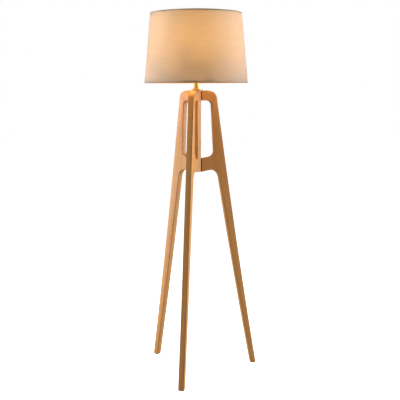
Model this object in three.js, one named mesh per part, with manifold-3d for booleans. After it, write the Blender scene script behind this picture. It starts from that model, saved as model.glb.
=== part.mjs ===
// Tripod floor lamp: three slotted oak boards round a six-sided oak post, a brass cap and neck, an E27
// lampholder, a bulb and a drum-like linen shade. Millimetres, +Z up, one leg pointing along -Y.
// The origin is on the floor under the middle of the lamp's bounding box; the lamp's own axis stands
// AXIS_Y behind it, because the front foot reaches further out than the shade does at the back.
import * as THREE from 'three';
import { mergeVertices } from 'three/addons/utils/BufferGeometryUtils.js';
import Module from 'manifold-3d';

const wasm = await Module();
wasm.setup();

// ---- driving dimensions -------------------------------------------------------------------------
const GAP = 0.3; // what two pieces that touch, or that one cuts, keep between them
const TINY = 1e-7; // below this a triangle has no area

// stand
const BOARD_T = 25; // thickness of the leg boards
const FOOT_REACH = 281.2; // lamp axis to the outer edge of a foot
const FOOT_INNER = 258.6; // lamp axis to the inner edge of a foot
const PAD_T = 3; // felt under each foot
const TOP_Z = 1260.5; // top of the boards and of the post
const WINDOW_TOP_Z = 1217.4; // underside of the top arm
const BRIDGE_TOP_Z = 963.5; // top of the bridge arm where it meets the post
const BRIDGE_BOTTOM_Z = 905.4; // underside of the post and of the bridge arm
const ARM_TILT = 9.5; // the bridge arm rises outwards by this many degrees
const WALL_TILT = 2.9; // the window's outer wall leans in by this many degrees
const EASE = 1; // eased edges of the boards
const HEX_SIDE = 21.5; // a board butts on every other face, and stands 1.75 mm proud of it at each side
const DOWEL_R = 4;
const DOWEL_IN_POST = 10;
const DOWEL_IN_ARM = 28;
const LEG_AZIMUTHS = { front: -90, right: 30, left: 150 };

// threaded rod and its fixings
const ROD_R = 5; // M10 x 1 hollow rod
const ROD_BORE_R = 3.5;
const CLEAR_R = ROD_R + GAP; // every hole the rod passes through
const POCKET_R = 12.5; // counterbore in the underside of the post
const POCKET_DEPTH = 14;
const WASHER_T = 1.5;
const NUT_FLATS = 17;
const NUT_T = 5;

// brass cap and neck
const CAP_R = 28.5;
const CAP_T = 5.5;
const NECK_R = 13.6;
const NECK_WALL = 1.6;
const NECK_TOP_Z = 1365; // well inside the shade, so that the bulb stands in its middle

// lampholder, E27
const HOLDER_R = 19.6;
const HOLDER_SEAM_Z = NECK_TOP_Z + 28; // where the cap and the threaded skirt meet
const HOLDER_TOP_Z = NECK_TOP_Z + 63;
const SEAT_R = 23; // collar that the shade rests on
const SEAT_Z = NECK_TOP_Z + 35; // top of that collar
const SWITCH_Z = NECK_TOP_Z + 14;
const SWITCH_R = 2.4;
const SWITCH_LENGTH = 54;
const SWITCH_TRAVEL = 6;
const SOCKET_BOTTOM_Z = NECK_TOP_Z + 18.5;
const SOCKET_FLOOR_Z = NECK_TOP_Z + 31;
const TERMINAL_Y = 10;

// bulb
const BULB_Z = SOCKET_FLOOR_Z + 4.3; // bottom of the bulb's contact
const BULB_R = 30;
const BULB_LENGTH = 108;

// shade
const SHADE_BOTTOM_Z = 1293;
const SHADE_TOP_Z = 1588.5;
const SHADE_BOTTOM_R = 225;
const SHADE_TOP_R = 197.6;
const CLOTH_T = 1;
const TRIM_T = 0.5;
const TRIM_H = 4;
const WIRE_R = 2;
const SPOKE_R = 2;
const FITTER_R = 27;
const FITTER_T = 2;

const AXIS_Y = (FOOT_REACH - SHADE_BOTTOM_R) / 2;
const POST_APOTHEM = (HEX_SIDE * Math.sqrt(3)) / 2;

// ---- finishes -----------------------------------------------------------------------------------
const FINISHES = {
  oak: { color: 0xbe8550, roughness: 0.55, metalness: 0 },
  felt: { color: 0x6b6258, roughness: 0.95, metalness: 0 },
  brass: { color: 0xd9a95a, roughness: 0.25, metalness: 1 },
  steel: { color: 0xb4b6b8, roughness: 0.4, metalness: 1 },
  bakelite: { color: 0x1c1a19, roughness: 0.45, metalness: 0 },
  linen: { color: 0xe8cfa6, roughness: 0.9, metalness: 0 },
  liner: { color: 0xf2eadb, roughness: 0.6, metalness: 0 },
  wire: { color: 0xe9e6df, roughness: 0.5, metalness: 0.2 },
  opal_glass: { color: 0xfff1d8, roughness: 0.2, metalness: 0 },
};

// ---- helpers ------------------------------------------------------------------------------------
const radians = THREE.MathUtils.degToRad;
const at = (x, y) => new THREE.Vector2(x, y);

// One closed skin: shared vertices merged, empty triangles dropped, faces turned outwards.
function closed(geometry) {
  const bare = geometry.clone();
  for (const name of Object.keys(bare.attributes)) {
    if (name !== 'position') bare.deleteAttribute(name);
  }
  const merged = mergeVertices(bare, 1e-4);
  const point = (i) => new THREE.Vector3().fromBufferAttribute(merged.attributes.position, i);
  const source = merged.index.array;
  const kept = [];
  let volume = 0;
  for (let i = 0; i < source.length; i += 3) {
    const [a, b, c] = [source[i], source[i + 1], source[i + 2]];
    const cross = point(b).sub(point(a)).cross(point(c).sub(point(a)));
    if (a === b || b === c || c === a || cross.length() < TINY) continue;
    kept.push(a, b, c);
    volume += point(a).dot(point(b).cross(point(c)));
  }
  if (volume < 0) {
    for (let i = 0; i < kept.length; i += 3) [kept[i + 1], kept[i + 2]] = [kept[i + 2], kept[i + 1]];
  }
  merged.setIndex(kept);
  return merged;
}

function toSolid(geometry) {
  const skin = closed(geometry);
  return new wasm.Manifold(new wasm.Mesh({
    numProp: 3,
    vertProperties: new Float32Array(skin.attributes.position.array),
    triVerts: new Uint32Array(skin.index.array),
  }));
}

function cut(geometry, ...tools) {
  let solid = toSolid(geometry);
  for (const tool of tools) solid = solid.subtract(toSolid(tool));
  const { vertProperties, triVerts } = solid.getMesh();
  const result = new THREE.BufferGeometry();
  result.setAttribute('position', new THREE.BufferAttribute(new Float32Array(vertProperties), 3));
  result.setIndex(new THREE.BufferAttribute(new Uint32Array(triVerts), 1));
  return result;
}

// A body turned about +Z. The profile's points are (radius, height).
function turned(profile, segments = 32) {
  const points = profile.map(([r, z]) => at(r, z));
  return new THREE.LatheGeometry(points, segments).rotateX(Math.PI / 2);
}

// A ring with the section given by (radius, height) corners.
const ring = (section, segments) => turned([...section, section[0]], segments);

const tube = (innerR, outerR, bottom, top, segments) =>
  ring([[innerR, bottom], [outerR, bottom], [outerR, top], [innerR, top]], segments);

// A solid cylinder along +Z from bottom to top.
const plug = (radius, bottom, top, segments) =>
  turned([[0, bottom], [radius, bottom], [radius, top], [0, top]], segments);

// A solid cylinder along Y, centred on the origin.
const rod = (radius, length, segments) => new THREE.CylinderGeometry(radius, radius, length, segments);

// A prism along +Z from bottom to top.
function prism(shape, bottom, top) {
  const options = { depth: top - bottom, bevelEnabled: false, curveSegments: 16 };
  return new THREE.ExtrudeGeometry(shape, options).translate(0, 0, bottom);
}

function hexagon(radius, chamfer = 0, holeR = 0) {
  const shape = new THREE.Shape();
  const corners = Array.from({ length: 6 }, (_, i) =>
    at(radius, 0).rotateAround(at(0, 0), radians(60 * i)));
  const points = corners.flatMap((corner, i) => {
    if (!chamfer) return [corner];
    const before = corners[(i + 5) % 6].clone().sub(corner).setLength(chamfer).add(corner);
    const after = corners[(i + 1) % 6].clone().sub(corner).setLength(chamfer).add(corner);
    return [before, after];
  });
  shape.setFromPoints(points);
  if (holeR) shape.holes.push(new THREE.Path().absarc(0, 0, holeR, 0, 2 * Math.PI));
  return shape;
}

const hexNut = (bottom) => prism(hexagon(NUT_FLATS / Math.sqrt(3), 0, CLEAR_R), bottom, bottom + NUT_T);

function piece(name, geometry, finish) {
  const mesh = new THREE.Mesh(closed(geometry), new THREE.MeshStandardMaterial(FINISHES[finish]));
  mesh.name = name;
  return mesh;
}

// ---- stand --------------------------------------------------------------------------------------
// A leg is one board: a top arm and a bridge arm that butt on the post with a window between them,
// and below the bridge a tapering leg with a slight bow. x is the distance from the lamp's axis.
function boardOutline() {
  const inner = POST_APOTHEM + GAP;
  const foot = PAD_T + GAP;
  const shoulder = at(91.5, TOP_Z - 35.7); // where the rounded top corner runs into the outer edge
  const arch = { x: 62, z: 872.3, r: 40 };
  const sill = { x: 50.5, z: 997, r: 28 };
  const head = { x: 46.5, z: WINDOW_TOP_Z - 22, r: 22 };
  const archEnd = at(arch.r, 0).rotateAround(at(0, 0), radians(ARM_TILT)).add(at(arch.x, arch.z));

  const shape = new THREE.Shape();
  shape.moveTo(inner, TOP_Z);
  shape.lineTo(50, TOP_Z);
  shape.bezierCurveTo(78, TOP_Z - 3.5, 89, TOP_Z - 13.5, shoulder.x, shoulder.y);
  shape.quadraticCurveTo(181.5, 575.5, FOOT_REACH, foot);
  shape.lineTo(FOOT_INNER, foot);
  shape.quadraticCurveTo(171.8, 449.5, archEnd.x, archEnd.y);
  shape.absarc(arch.x, arch.z, arch.r, radians(ARM_TILT), radians(90 + ARM_TILT));
  shape.lineTo(inner, BRIDGE_BOTTOM_Z);
  shape.lineTo(inner, BRIDGE_TOP_Z);
  shape.absarc(sill.x, sill.z, sill.r, radians(ARM_TILT - 90), radians(WALL_TILT));
  shape.absarc(head.x, head.z, head.r, radians(WALL_TILT), radians(90));
  shape.lineTo(inner, WINDOW_TOP_Z);
  return shape;
}

const DOWEL_ZS = { top: (TOP_Z + WINDOW_TOP_Z) / 2, bridge: (BRIDGE_TOP_Z + BRIDGE_BOTTOM_Z) / 2 };
const dowelStart = POST_APOTHEM - DOWEL_IN_POST;
const dowelEnd = POST_APOTHEM + DOWEL_IN_ARM;

// A pin lying along +X at height z, from x = start to x = end.
function radialPin(radius, start, end, z, segments) {
  return rod(radius, end - start, segments).rotateZ(Math.PI / 2).translate((start + end) / 2, 0, z);
}

const dowelHole = (z) => radialPin(DOWEL_R + GAP, dowelStart - GAP, dowelEnd + GAP, z, 16);

function legBoard() {
  const board = new THREE.ExtrudeGeometry(boardOutline(), {
    depth: BOARD_T - 2 * EASE,
    bevelThickness: EASE,
    bevelSize: EASE,
    bevelOffset: -EASE,
    bevelSegments: 1,
    curveSegments: 12,
  });
  board.translate(0, 0, EASE - BOARD_T / 2).rotateX(Math.PI / 2);
  return cut(board, ...Object.values(DOWEL_ZS).map(dowelHole));
}

function feltPad() {
  const inset = 1.5;
  const width = FOOT_REACH - FOOT_INNER - 2 * inset;
  return new THREE.BoxGeometry(width, BOARD_T - 2 * inset, PAD_T)
    .translate((FOOT_REACH + FOOT_INNER) / 2, 0, PAD_T / 2);
}

function leg(side) {
  const group = new THREE.Group();
  group.rotation.z = radians(LEG_AZIMUTHS[side]);
  group.add(piece(`${side}_leg_board`, legBoard(), 'oak'));
  group.add(piece(`${side}_foot_pad`, feltPad(), 'felt'));
  for (const [place, z] of Object.entries(DOWEL_ZS)) {
    group.add(piece(`${side}_${place}_dowel`, radialPin(DOWEL_R, dowelStart, dowelEnd, z, 16), 'oak'));
  }
  return group;
}

function centrePost() {
  const post = prism(hexagon(HEX_SIDE, EASE), BRIDGE_BOTTOM_Z, TOP_Z);
  const below = BRIDGE_BOTTOM_Z - 1;
  const bore = plug(CLEAR_R, below, TOP_Z + 1, 24);
  const pocket = plug(POCKET_R, below, BRIDGE_BOTTOM_Z + POCKET_DEPTH, 32);
  const holes = Object.values(LEG_AZIMUTHS).flatMap((azimuth) =>
    Object.values(DOWEL_ZS).map((z) => dowelHole(z).rotateZ(radians(azimuth))));
  return piece('centre_post', cut(post, bore, pocket, ...holes), 'oak');
}

// ---- rod, nuts and washers ----------------------------------------------------------------------
const ROD_BOTTOM_Z = BRIDGE_BOTTOM_Z + 3.3;
const ROD_TOP_Z = NECK_TOP_Z + 6;

function fixings() {
  const pocketTop = BRIDGE_BOTTOM_Z + POCKET_DEPTH;
  const lowerWasher = pocketTop - GAP - WASHER_T;
  const capTop = TOP_Z + GAP + CAP_T;
  const bushTop = lowerWasher - 2 * GAP - NUT_T;
  const bush = ring([
    [ROD_BORE_R, BRIDGE_BOTTOM_Z + GAP], [POCKET_R - GAP, BRIDGE_BOTTOM_Z + GAP],
    [POCKET_R - GAP, bushTop - GAP], [CLEAR_R, bushTop - GAP],
    [CLEAR_R, ROD_BOTTOM_Z - GAP], [ROD_BORE_R, ROD_BOTTOM_Z - GAP],
  ], 24);
  return [
    piece('threaded_rod', tube(ROD_BORE_R, ROD_R, ROD_BOTTOM_Z, ROD_TOP_Z, 24), 'steel'),
    piece('lower_washer', tube(CLEAR_R, 11, lowerWasher, lowerWasher + WASHER_T, 24), 'steel'),
    piece('lower_nut', hexNut(bushTop), 'steel'),
    piece('cord_bush', bush, 'bakelite'),
    piece('upper_washer', tube(CLEAR_R, 10.5, capTop + GAP, capTop + GAP + WASHER_T, 24), 'steel'),
    piece('upper_nut', hexNut(capTop + 2 * GAP + WASHER_T), 'steel'),
  ];
}

// ---- brass cap and neck -------------------------------------------------------------------------
function capDisc() {
  const bottom = TOP_Z + GAP;
  const top = bottom + CAP_T;
  const edge = 1;
  return piece('cap_disc', ring([
    [CLEAR_R, bottom], [CAP_R - edge, bottom], [CAP_R, bottom + edge], [CAP_R, top - edge],
    [CAP_R - edge, top], [CLEAR_R, top],
  ], 48), 'brass');
}

function neckTube() {
  const bottom = TOP_Z + CAP_T + 2 * GAP;
  const innerR = NECK_R - NECK_WALL;
  return piece('neck_tube', ring([
    [innerR, bottom], [NECK_R + 1.8, bottom], [NECK_R + 1.8, bottom + 1.2], [NECK_R + 0.5, bottom + 2.6],
    [NECK_R, bottom + 5], [NECK_R, NECK_TOP_Z], [innerR, NECK_TOP_Z],
  ], 40), 'brass');
}

// ---- lampholder ---------------------------------------------------------------------------------
function holderCap() {
  const wall = 1.2;
  const bottom = NECK_TOP_Z + GAP;
  const shoulder = at(NECK_R - 0.6, HOLDER_R);
  const outside = Array.from({ length: 6 }, (_, i) => {
    const turn = radians(90 * (i / 5));
    return [shoulder.x + (HOLDER_R - shoulder.x) * Math.sin(turn), bottom + 11 * (1 - Math.cos(turn))];
  });
  const inside = outside.map(([r, z]) => [r - wall, z + wall]).reverse();
  const dome = ring([
    [CLEAR_R, bottom], ...outside, [HOLDER_R, HOLDER_SEAM_Z], [HOLDER_R - wall, HOLDER_SEAM_Z],
    ...inside, [CLEAR_R, bottom + wall],
  ], 36);
  const switchHole = radialPin(SWITCH_R + GAP, -2 * HOLDER_R, 2 * HOLDER_R, SWITCH_Z, 20);
  return piece('holder_cap', cut(dome, switchHole), 'brass');
}

function socketCup() {
  const wallInner = 14.8;
  const wallOuter = 17.4;
  const cup = turned([
    [0, SOCKET_BOTTOM_Z], [wallOuter, SOCKET_BOTTOM_Z],
    [wallOuter, HOLDER_TOP_Z - 1], [wallInner, HOLDER_TOP_Z - 1],
    [wallInner, SOCKET_FLOOR_Z], [0, SOCKET_FLOOR_Z],
  ], 32);
  const holes = [-TERMINAL_Y, TERMINAL_Y].map((y) =>
    plug(1.8, SOCKET_BOTTOM_Z - 7, SOCKET_BOTTOM_Z + 6, 12).translate(0, y, 0));
  return piece('socket_cup', cut(cup, ...holes), 'bakelite');
}

function terminalScrew(name, y) {
  const headTop = SOCKET_BOTTOM_Z - GAP;
  const headBottom = headTop - 2.6;
  const tip = headTop + 5.8;
  const screw = turned([
    [0, headBottom], [2.4, headBottom], [2.4, headTop], [1.5, headTop], [1.5, tip], [0, tip],
  ], 16);
  return piece(name, screw.translate(0, y, 0), 'brass');
}

function holderSkirt() {
  const innerR = 17.8;
  const outerR = 19.4;
  const collar = 2;
  return piece('holder_skirt', ring([
    [innerR, HOLDER_SEAM_Z + GAP], [outerR, HOLDER_SEAM_Z + GAP],
    [outerR, SEAT_Z - collar], [SEAT_R, SEAT_Z - collar], [SEAT_R, SEAT_Z], [outerR, SEAT_Z],
    [outerR, HOLDER_TOP_Z], [innerR, HOLDER_TOP_Z],
  ], 36), 'brass');
}

function centreContact() {
  const strip = 0.6;
  const lift = 3.2;
  const half = 9;
  const bottom = SOCKET_FLOOR_Z + GAP;
  const arch = new THREE.Shape();
  arch.moveTo(-half, bottom);
  arch.lineTo(-half + 3, bottom);
  arch.lineTo(-3, bottom + lift);
  arch.lineTo(3, bottom + lift);
  arch.lineTo(half - 3, bottom);
  arch.lineTo(half, bottom);
  arch.lineTo(half, bottom + strip);
  arch.lineTo(half - 3 + strip / 2, bottom + strip);
  arch.lineTo(3 + strip / 2, bottom + lift + strip);
  arch.lineTo(-3 - strip / 2, bottom + lift + strip);
  arch.lineTo(-half + 3 - strip / 2, bottom + strip);
  arch.lineTo(-half, bottom + strip);
  const width = 6;
  const geometry = new THREE.ExtrudeGeometry(arch, { depth: width, bevelEnabled: false });
  return piece('centre_contact', geometry.translate(0, 0, -width / 2).rotateX(Math.PI / 2), 'brass');
}

// The switch bar lies along X through both sides of the holder cap, pushed to its +X end.
function switchBar() {
  const middle = SWITCH_TRAVEL / 2;
  const half = SWITCH_LENGTH / 2;
  const round = 0.8;
  const bar = turned([
    [0, -half], [SWITCH_R - round, -half], [SWITCH_R, round - half],
    [SWITCH_R, half - round], [SWITCH_R - round, half], [0, half],
  ], 20);
  return piece('switch_bar', bar.rotateY(Math.PI / 2).translate(middle, 0, SWITCH_Z), 'bakelite');
}

function shadeRing() {
  const bottom = SEAT_Z + 2 * GAP + FITTER_T;
  const top = bottom + 8.4;
  return piece('shade_ring', ring([
    [19.8, bottom], [26, bottom], [26, top - 3], [23.6, top - 2.2], [22.6, top], [19.8, top],
  ], 36), 'bakelite');
}

// ---- bulb ---------------------------------------------------------------------------------------
function bulb() {
  const capR = 13.1;
  const contact = turned([
    [0, BULB_Z], [3.6, BULB_Z], [4.5, BULB_Z + 0.6], [4.5, BULB_Z + 1.4], [0, BULB_Z + 1.4],
  ], 20);
  const insulator = turned([
    [0, BULB_Z + 1.7], [4.9, BULB_Z + 1.7], [9.3, BULB_Z + 4.9], [9.3, BULB_Z + 6.7], [0, BULB_Z + 6.7],
  ], 24);
  const shell = ring([
    [9.6, BULB_Z + 4.7], [capR, BULB_Z + 7.7], [capR, BULB_Z + 24.7], [capR - 0.6, BULB_Z + 24.7],
    [capR - 0.6, BULB_Z + 8.2], [9.6, BULB_Z + 5.6],
  ], 28);
  return [
    piece('bulb_contact', contact, 'brass'),
    piece('bulb_insulator', insulator, 'bakelite'),
    piece('bulb_cap', shell, 'steel'),
    piece('bulb_glass', bulbGlass(capR - 0.6 - GAP), 'opal_glass'),
  ];
}

// The glass: a neck that swells out of the cap, then half an ellipsoid, one wall thick and open at the neck.
function bulbGlass(neckR) {
  const wall = 1;
  const start = BULB_Z + 20.7;
  const mouth = BULB_Z + 25;
  const widest = BULB_Z + 74;
  const top = BULB_Z + BULB_LENGTH;
  const side = (inset) => {
    const swell = new THREE.CubicBezierCurve(
      at(neckR - inset, mouth), at(neckR - inset, mouth + 18),
      at(BULB_R - inset, mouth + 22), at(BULB_R - inset, widest));
    const dome = new THREE.EllipseCurve(0, widest, BULB_R - inset, top - widest - inset, 0, Math.PI / 2);
    const above = dome.getPoints(8).slice(1, -1);
    const points = [at(neckR - inset, start), ...swell.getPoints(8), ...above, at(0, top - inset)];
    return points.map((p) => [p.x, p.y]);
  };
  return turned([...side(wall).reverse(), ...side(0)], 28);
}

// ---- shade --------------------------------------------------------------------------------------
const SHADE_SEGMENTS = 64;
const shadeSlope = (SHADE_BOTTOM_R - SHADE_TOP_R) / (SHADE_TOP_Z - SHADE_BOTTOM_Z);
const shadeR = (z) => SHADE_BOTTOM_R - (z - SHADE_BOTTOM_Z) * shadeSlope;

// A conical band that follows the shade's side, set in by `inset`.
function band(inset, thickness, bottom, top) {
  return ring([
    [shadeR(bottom) - inset - thickness, bottom], [shadeR(bottom) - inset, bottom],
    [shadeR(top) - inset, top], [shadeR(top) - inset - thickness, top],
  ], SHADE_SEGMENTS);
}

function wireRing(name, z) {
  const r = shadeR(z) - TRIM_T - 2 * CLOTH_T - 3 * GAP - WIRE_R;
  const section = Array.from({ length: 8 }, (_, i) => {
    const turn = radians(45 * i);
    return [r + WIRE_R * Math.cos(turn), z + WIRE_R * Math.sin(turn)];
  });
  return piece(name, ring(section, 48), 'wire');
}

function spoke(index, wireZ) {
  const fitterZ = SEAT_Z + GAP + FITTER_T / 2;
  const start = new THREE.Vector3(FITTER_R + 2 * GAP, 0, fitterZ);
  const wireR = shadeR(wireZ) - TRIM_T - 2 * CLOTH_T - 3 * GAP - WIRE_R;
  const end = new THREE.Vector3(wireR - WIRE_R - SPOKE_R, 0, wireZ + 1);
  const along = end.clone().sub(start);
  const geometry = rod(SPOKE_R, along.length(), 10);
  const upright = new THREE.Vector3(0, 1, 0);
  geometry.applyQuaternion(new THREE.Quaternion().setFromUnitVectors(upright, along.normalize()));
  geometry.translate((start.x + end.x) / 2, 0, (start.z + end.z) / 2);
  const mesh = piece(`shade_spoke_${index + 1}`, geometry, 'wire');
  mesh.rotation.z = radians(90 + 120 * index);
  return mesh;
}

function shade() {
  const wireInset = 4.5;
  const lowerWireZ = SHADE_BOTTOM_Z + wireInset;
  const upperWireZ = SHADE_TOP_Z - wireInset;
  const clothInset = TRIM_T + GAP;
  const linerInset = clothInset + CLOTH_T + GAP;
  return [
    piece('fitter_ring', tube(20, FITTER_R, SEAT_Z + GAP, SEAT_Z + GAP + FITTER_T, 36), 'wire'),
    ...[0, 1, 2].map((index) => spoke(index, lowerWireZ)),
    wireRing('lower_wire_ring', lowerWireZ),
    wireRing('upper_wire_ring', upperWireZ),
    piece('shade_liner', band(linerInset, CLOTH_T, SHADE_BOTTOM_Z, SHADE_TOP_Z), 'liner'),
    piece('shade_cloth', band(clothInset, CLOTH_T, SHADE_BOTTOM_Z, SHADE_TOP_Z), 'linen'),
    piece('lower_trim', band(0, TRIM_T, SHADE_BOTTOM_Z, SHADE_BOTTOM_Z + TRIM_H), 'linen'),
    piece('upper_trim', band(0, TRIM_T, SHADE_TOP_Z - TRIM_H, SHADE_TOP_Z), 'linen'),
  ];
}

// ---- the lamp -----------------------------------------------------------------------------------
const lamp = new THREE.Group();
lamp.position.y = AXIS_Y;
lamp.add(...Object.keys(LEG_AZIMUTHS).map(leg));
lamp.add(centrePost(), ...fixings(), capDisc(), neckTube());
lamp.add(holderCap(), socketCup(), holderSkirt(), centreContact(), switchBar(), shadeRing());
lamp.add(terminalScrew('front_terminal_screw', -TERMINAL_Y));
lamp.add(terminalScrew('rear_terminal_screw', TERMINAL_Y));
lamp.add(piece('screw_shell', tube(13.9, 14.4, SOCKET_FLOOR_Z + 2, HOLDER_TOP_Z - 4, 28), 'brass'));
lamp.add(...bulb(), ...shade());

export default lamp;
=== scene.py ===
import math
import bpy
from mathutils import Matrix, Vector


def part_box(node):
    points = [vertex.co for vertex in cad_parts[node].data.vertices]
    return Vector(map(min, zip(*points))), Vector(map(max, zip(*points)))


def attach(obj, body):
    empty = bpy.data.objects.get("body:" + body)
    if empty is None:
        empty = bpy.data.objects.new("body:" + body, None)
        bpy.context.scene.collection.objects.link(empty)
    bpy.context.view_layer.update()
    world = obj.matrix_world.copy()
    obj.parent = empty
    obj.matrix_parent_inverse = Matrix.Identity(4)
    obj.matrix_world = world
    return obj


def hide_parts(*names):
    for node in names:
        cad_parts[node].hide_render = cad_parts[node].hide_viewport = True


bl_info = {
    "name": "Tripod Floor Lamp",
    "version": (1, 0, 0),
    "blender": (4, 5, 0),
    "location": "3D View > Sidebar > Floor Lamp",
    "description": "Builds an oak tripod floor lamp with a lit linen shade round its packed frame",
    "category": "Object",
}

import bmesh
import bpy
from bpy.props import FloatProperty, PointerProperty, StringProperty
from mathutils import Matrix, Vector

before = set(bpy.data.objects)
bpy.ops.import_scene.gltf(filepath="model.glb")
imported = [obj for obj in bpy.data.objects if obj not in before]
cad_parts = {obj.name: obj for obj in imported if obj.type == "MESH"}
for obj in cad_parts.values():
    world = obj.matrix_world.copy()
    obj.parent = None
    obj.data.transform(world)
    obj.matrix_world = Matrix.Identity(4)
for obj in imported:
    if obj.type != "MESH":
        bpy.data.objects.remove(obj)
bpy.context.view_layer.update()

MM = 0.001
TAU = 2 * math.pi
WHITE = (1, 1, 1, 1)
# the way each leg points, in degrees round the lamp
LEGS = {"front": -90, "right": 30, "left": 150}
# how far a leg leans in, as a share of its height
LEG_LEAN = 0.16
# room left between a part and its neighbours
PLAY = 0.3 * MM
# how far the knuckle thread of bulb and socket rises from its mean radius
THREAD_RISE = 0.45 * MM


def centre_of(node):
    low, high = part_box(node)
    return (low + high) / 2


def radius_of(node):
    low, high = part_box(node)
    return (high.x - low.x) / 2


def heights_of(node):
    low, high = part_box(node)
    return low.z, high.z


AXIS = centre_of("threaded_rod")


# ---- sizes and colours that a user may change ----


def length(name, default, description):
    return FloatProperty(name=name, default=default, description=description, unit="LENGTH", precision=5)


def hex_colour(name, default, description):
    return StringProperty(name=name, default=default, description=description)


class StandSettings(bpy.types.PropertyGroup):
    board_thickness: length("Board thickness", 25 * MM, "Thickness of the leg boards")
    edge_radius: length("Eased edge", 1.0 * MM, "Radius sanded on the edges of the boards and the post")
    ring_spacing: length("Growth ring spacing", 3.4 * MM, "Width of a year's growth in the oak")
    oak_light: hex_colour("Early wood", "#DFA65F", "Colour of the pale bands of the oak")
    oak_dark: hex_colour("Late wood", "#BC7F42", "Colour of the dense bands of the oak")
    oak_pore: hex_colour("Pores", "#87592B", "Colour of the open pores of the oak")
    # painted shade: the colour of the shadow painted where a board meets the post and along the arrises,
    # and of the oil in the sawn edges
    oak_shade_and_oil: hex_colour("Joints", "#3A2008",
                          "Colour of the oak in the joints and of the oil in its edges")
    # the dark line where a board meets the post is a painted shadow
    joint_shadow_width: length("Joint width", 4.0 * MM, "Width of the dark line where a board meets the post")
    edge_tone: FloatProperty(name="Edge tone", default=0.92, min=0.0, max=1.0,
                             description="How much of the wood's colour shows on the sawn edges")
    # the darker line along the arrises is painted shade
    arris_tone: FloatProperty(name="Arris tone", default=0.52, min=0.0, max=1.0,
                              description="How much of the wood's colour shows along the arrises")
    felt: hex_colour("Felt", "#5D564D", "Colour of the foot pads")


class MetalSettings(bpy.types.PropertyGroup):
    brass: hex_colour("Brass", "#DBBA7A", "Colour of the lacquered brass")
    zinc: hex_colour("Zinc", "#B9BBBE", "Colour of the zinc-plated rod, nuts and washers")
    plastic: hex_colour("Phenolic plastic", "#1B1918", "Colour of the moulded insulating parts")
    wire: hex_colour("Wire", "#E9E6DF", "Colour of the coated shade frame")
    thread_pitch: length("Lamp thread pitch", 3.63 * MM, "Pitch of the knuckle thread of bulb and socket")


class ShadeSettings(bpy.types.PropertyGroup):
    linen: hex_colour("Linen", "#CFCFD0", "Colour of the plain-woven linen")
    slub: hex_colour("Slubs", "#C7C4BF", "Colour of the thicker places in the yarn")
    binding: hex_colour("Binding", "#B9986B", "Colour of the tape folded over the rims")
    binding_slub: hex_colour("Binding slubs", "#A98859", "Colour of the thicker yarns in the tape")
    liner: hex_colour("Liner", "#F5F1EA", "Colour of the translucent film that the linen is glued to")
    yarn: length("Yarn spacing", 1.4 * MM, "Distance between neighbouring threads")
    slub_length: length("Slub length", 60 * MM, "Usual length of a thick place in the yarn")
    glow: FloatProperty(name="Glow", default=11.6, min=0.0, subtype="POWER",
                        description="Power of the light that leaves the bulb")
    glow_colour: hex_colour("Glow colour", "#FFC371", "Colour of the bulb's light")
    opal: hex_colour("Opal glass", "#FFF6E6", "Colour of the milk glass of the bulb")
    opal_level: FloatProperty(name="Bulb brightness", default=8.0, min=0.0,
                              description="How bright the glass of the bulb is to look at")


class StageSettings(bpy.types.PropertyGroup):
    azimuth: FloatProperty(name="Azimuth", default=math.radians(14.28), subtype="ANGLE",
                           description="How far the camera stands round to the right of the front leg")
    pitch: FloatProperty(name="Pitch", default=math.radians(8.51), subtype="ANGLE",
                         description="How far the camera looks down")
    roll: FloatProperty(name="Roll", default=math.radians(-0.19), subtype="ANGLE",
                        description="How far the camera is turned about its own axis")
    distance: length("Distance", 3.298, "Camera to lamp axis, along the floor")
    height: length("Height", 1.2723, "Camera height above the floor")
    lens: FloatProperty(name="Lens", default=67.49, min=10.0, description="Focal length in millimetres")
    shift: FloatProperty(name="Shift", default=0.00855, description="Sideways shift of the lens")
    side_light: FloatProperty(name="Side light", default=96.0, min=0.0, subtype="POWER",
                              description="Power of each of the two softboxes beside the lamp")
    ambient: FloatProperty(name="Ambient", default=0.45, min=0.0,
                           description="Brightness of the room light beside and behind the lamp")
    front_level: FloatProperty(name="Front level", default=0.52, min=0.0,
                               description="Brightness behind the camera, as a share of the room light")
    front_colour: hex_colour("Front light", "#FFDDB0", "Colour of the room light from behind the camera")
    floor: hex_colour("Floor", "#F4F3F1", "Colour of the studio floor")
    floor_bounce: hex_colour("Floor bounce", "#B2B0AE", "Colour of the light that the floor throws back")
    floor_lift: FloatProperty(name="Floor lift", default=0.72, min=0.0,
                              description="Light added to the floor where it is seen")


# ---- mesh tools ----


def soften(points, radius, steps=4, closed=True):
    """The points with every corner between two straight stretches rounded off."""
    count = len(points)
    rounded = []
    for i, point in enumerate(points):
        if not closed and i in (0, count - 1):
            rounded.append(tuple(point))
            continue
        here = Vector(point)
        before = Vector(points[i - 1]) - here
        after = Vector(points[(i + 1) % count]) - here
        reach = min(radius, before.length * 0.45, after.length * 0.45)
        start = here + before.normalized() * reach
        end = here + after.normalized() * reach
        for step in range(steps + 1):
            t = step / steps
            rounded.append(tuple(start * (1 - t) ** 2 + here * 2 * t * (1 - t) + end * t * t))
    return rounded


def arc(x, z, radius, start, end, steps):
    """Points on a circle, from start to end in degrees."""
    angles = [math.radians(start + (end - start) * i / steps) for i in range(steps + 1)]
    return [(x + radius * math.cos(a), z + radius * math.sin(a)) for a in angles]


def bezier(points, steps):
    """Points on a Bezier curve of any order, its first point left out."""
    result = []
    for i in range(1, steps + 1):
        level = [Vector(p) for p in points]
        while len(level) > 1:
            level = [a.lerp(b, i / steps) for a, b in zip(level, level[1:])]
        result.append(tuple(level[0]))
    return result


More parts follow.
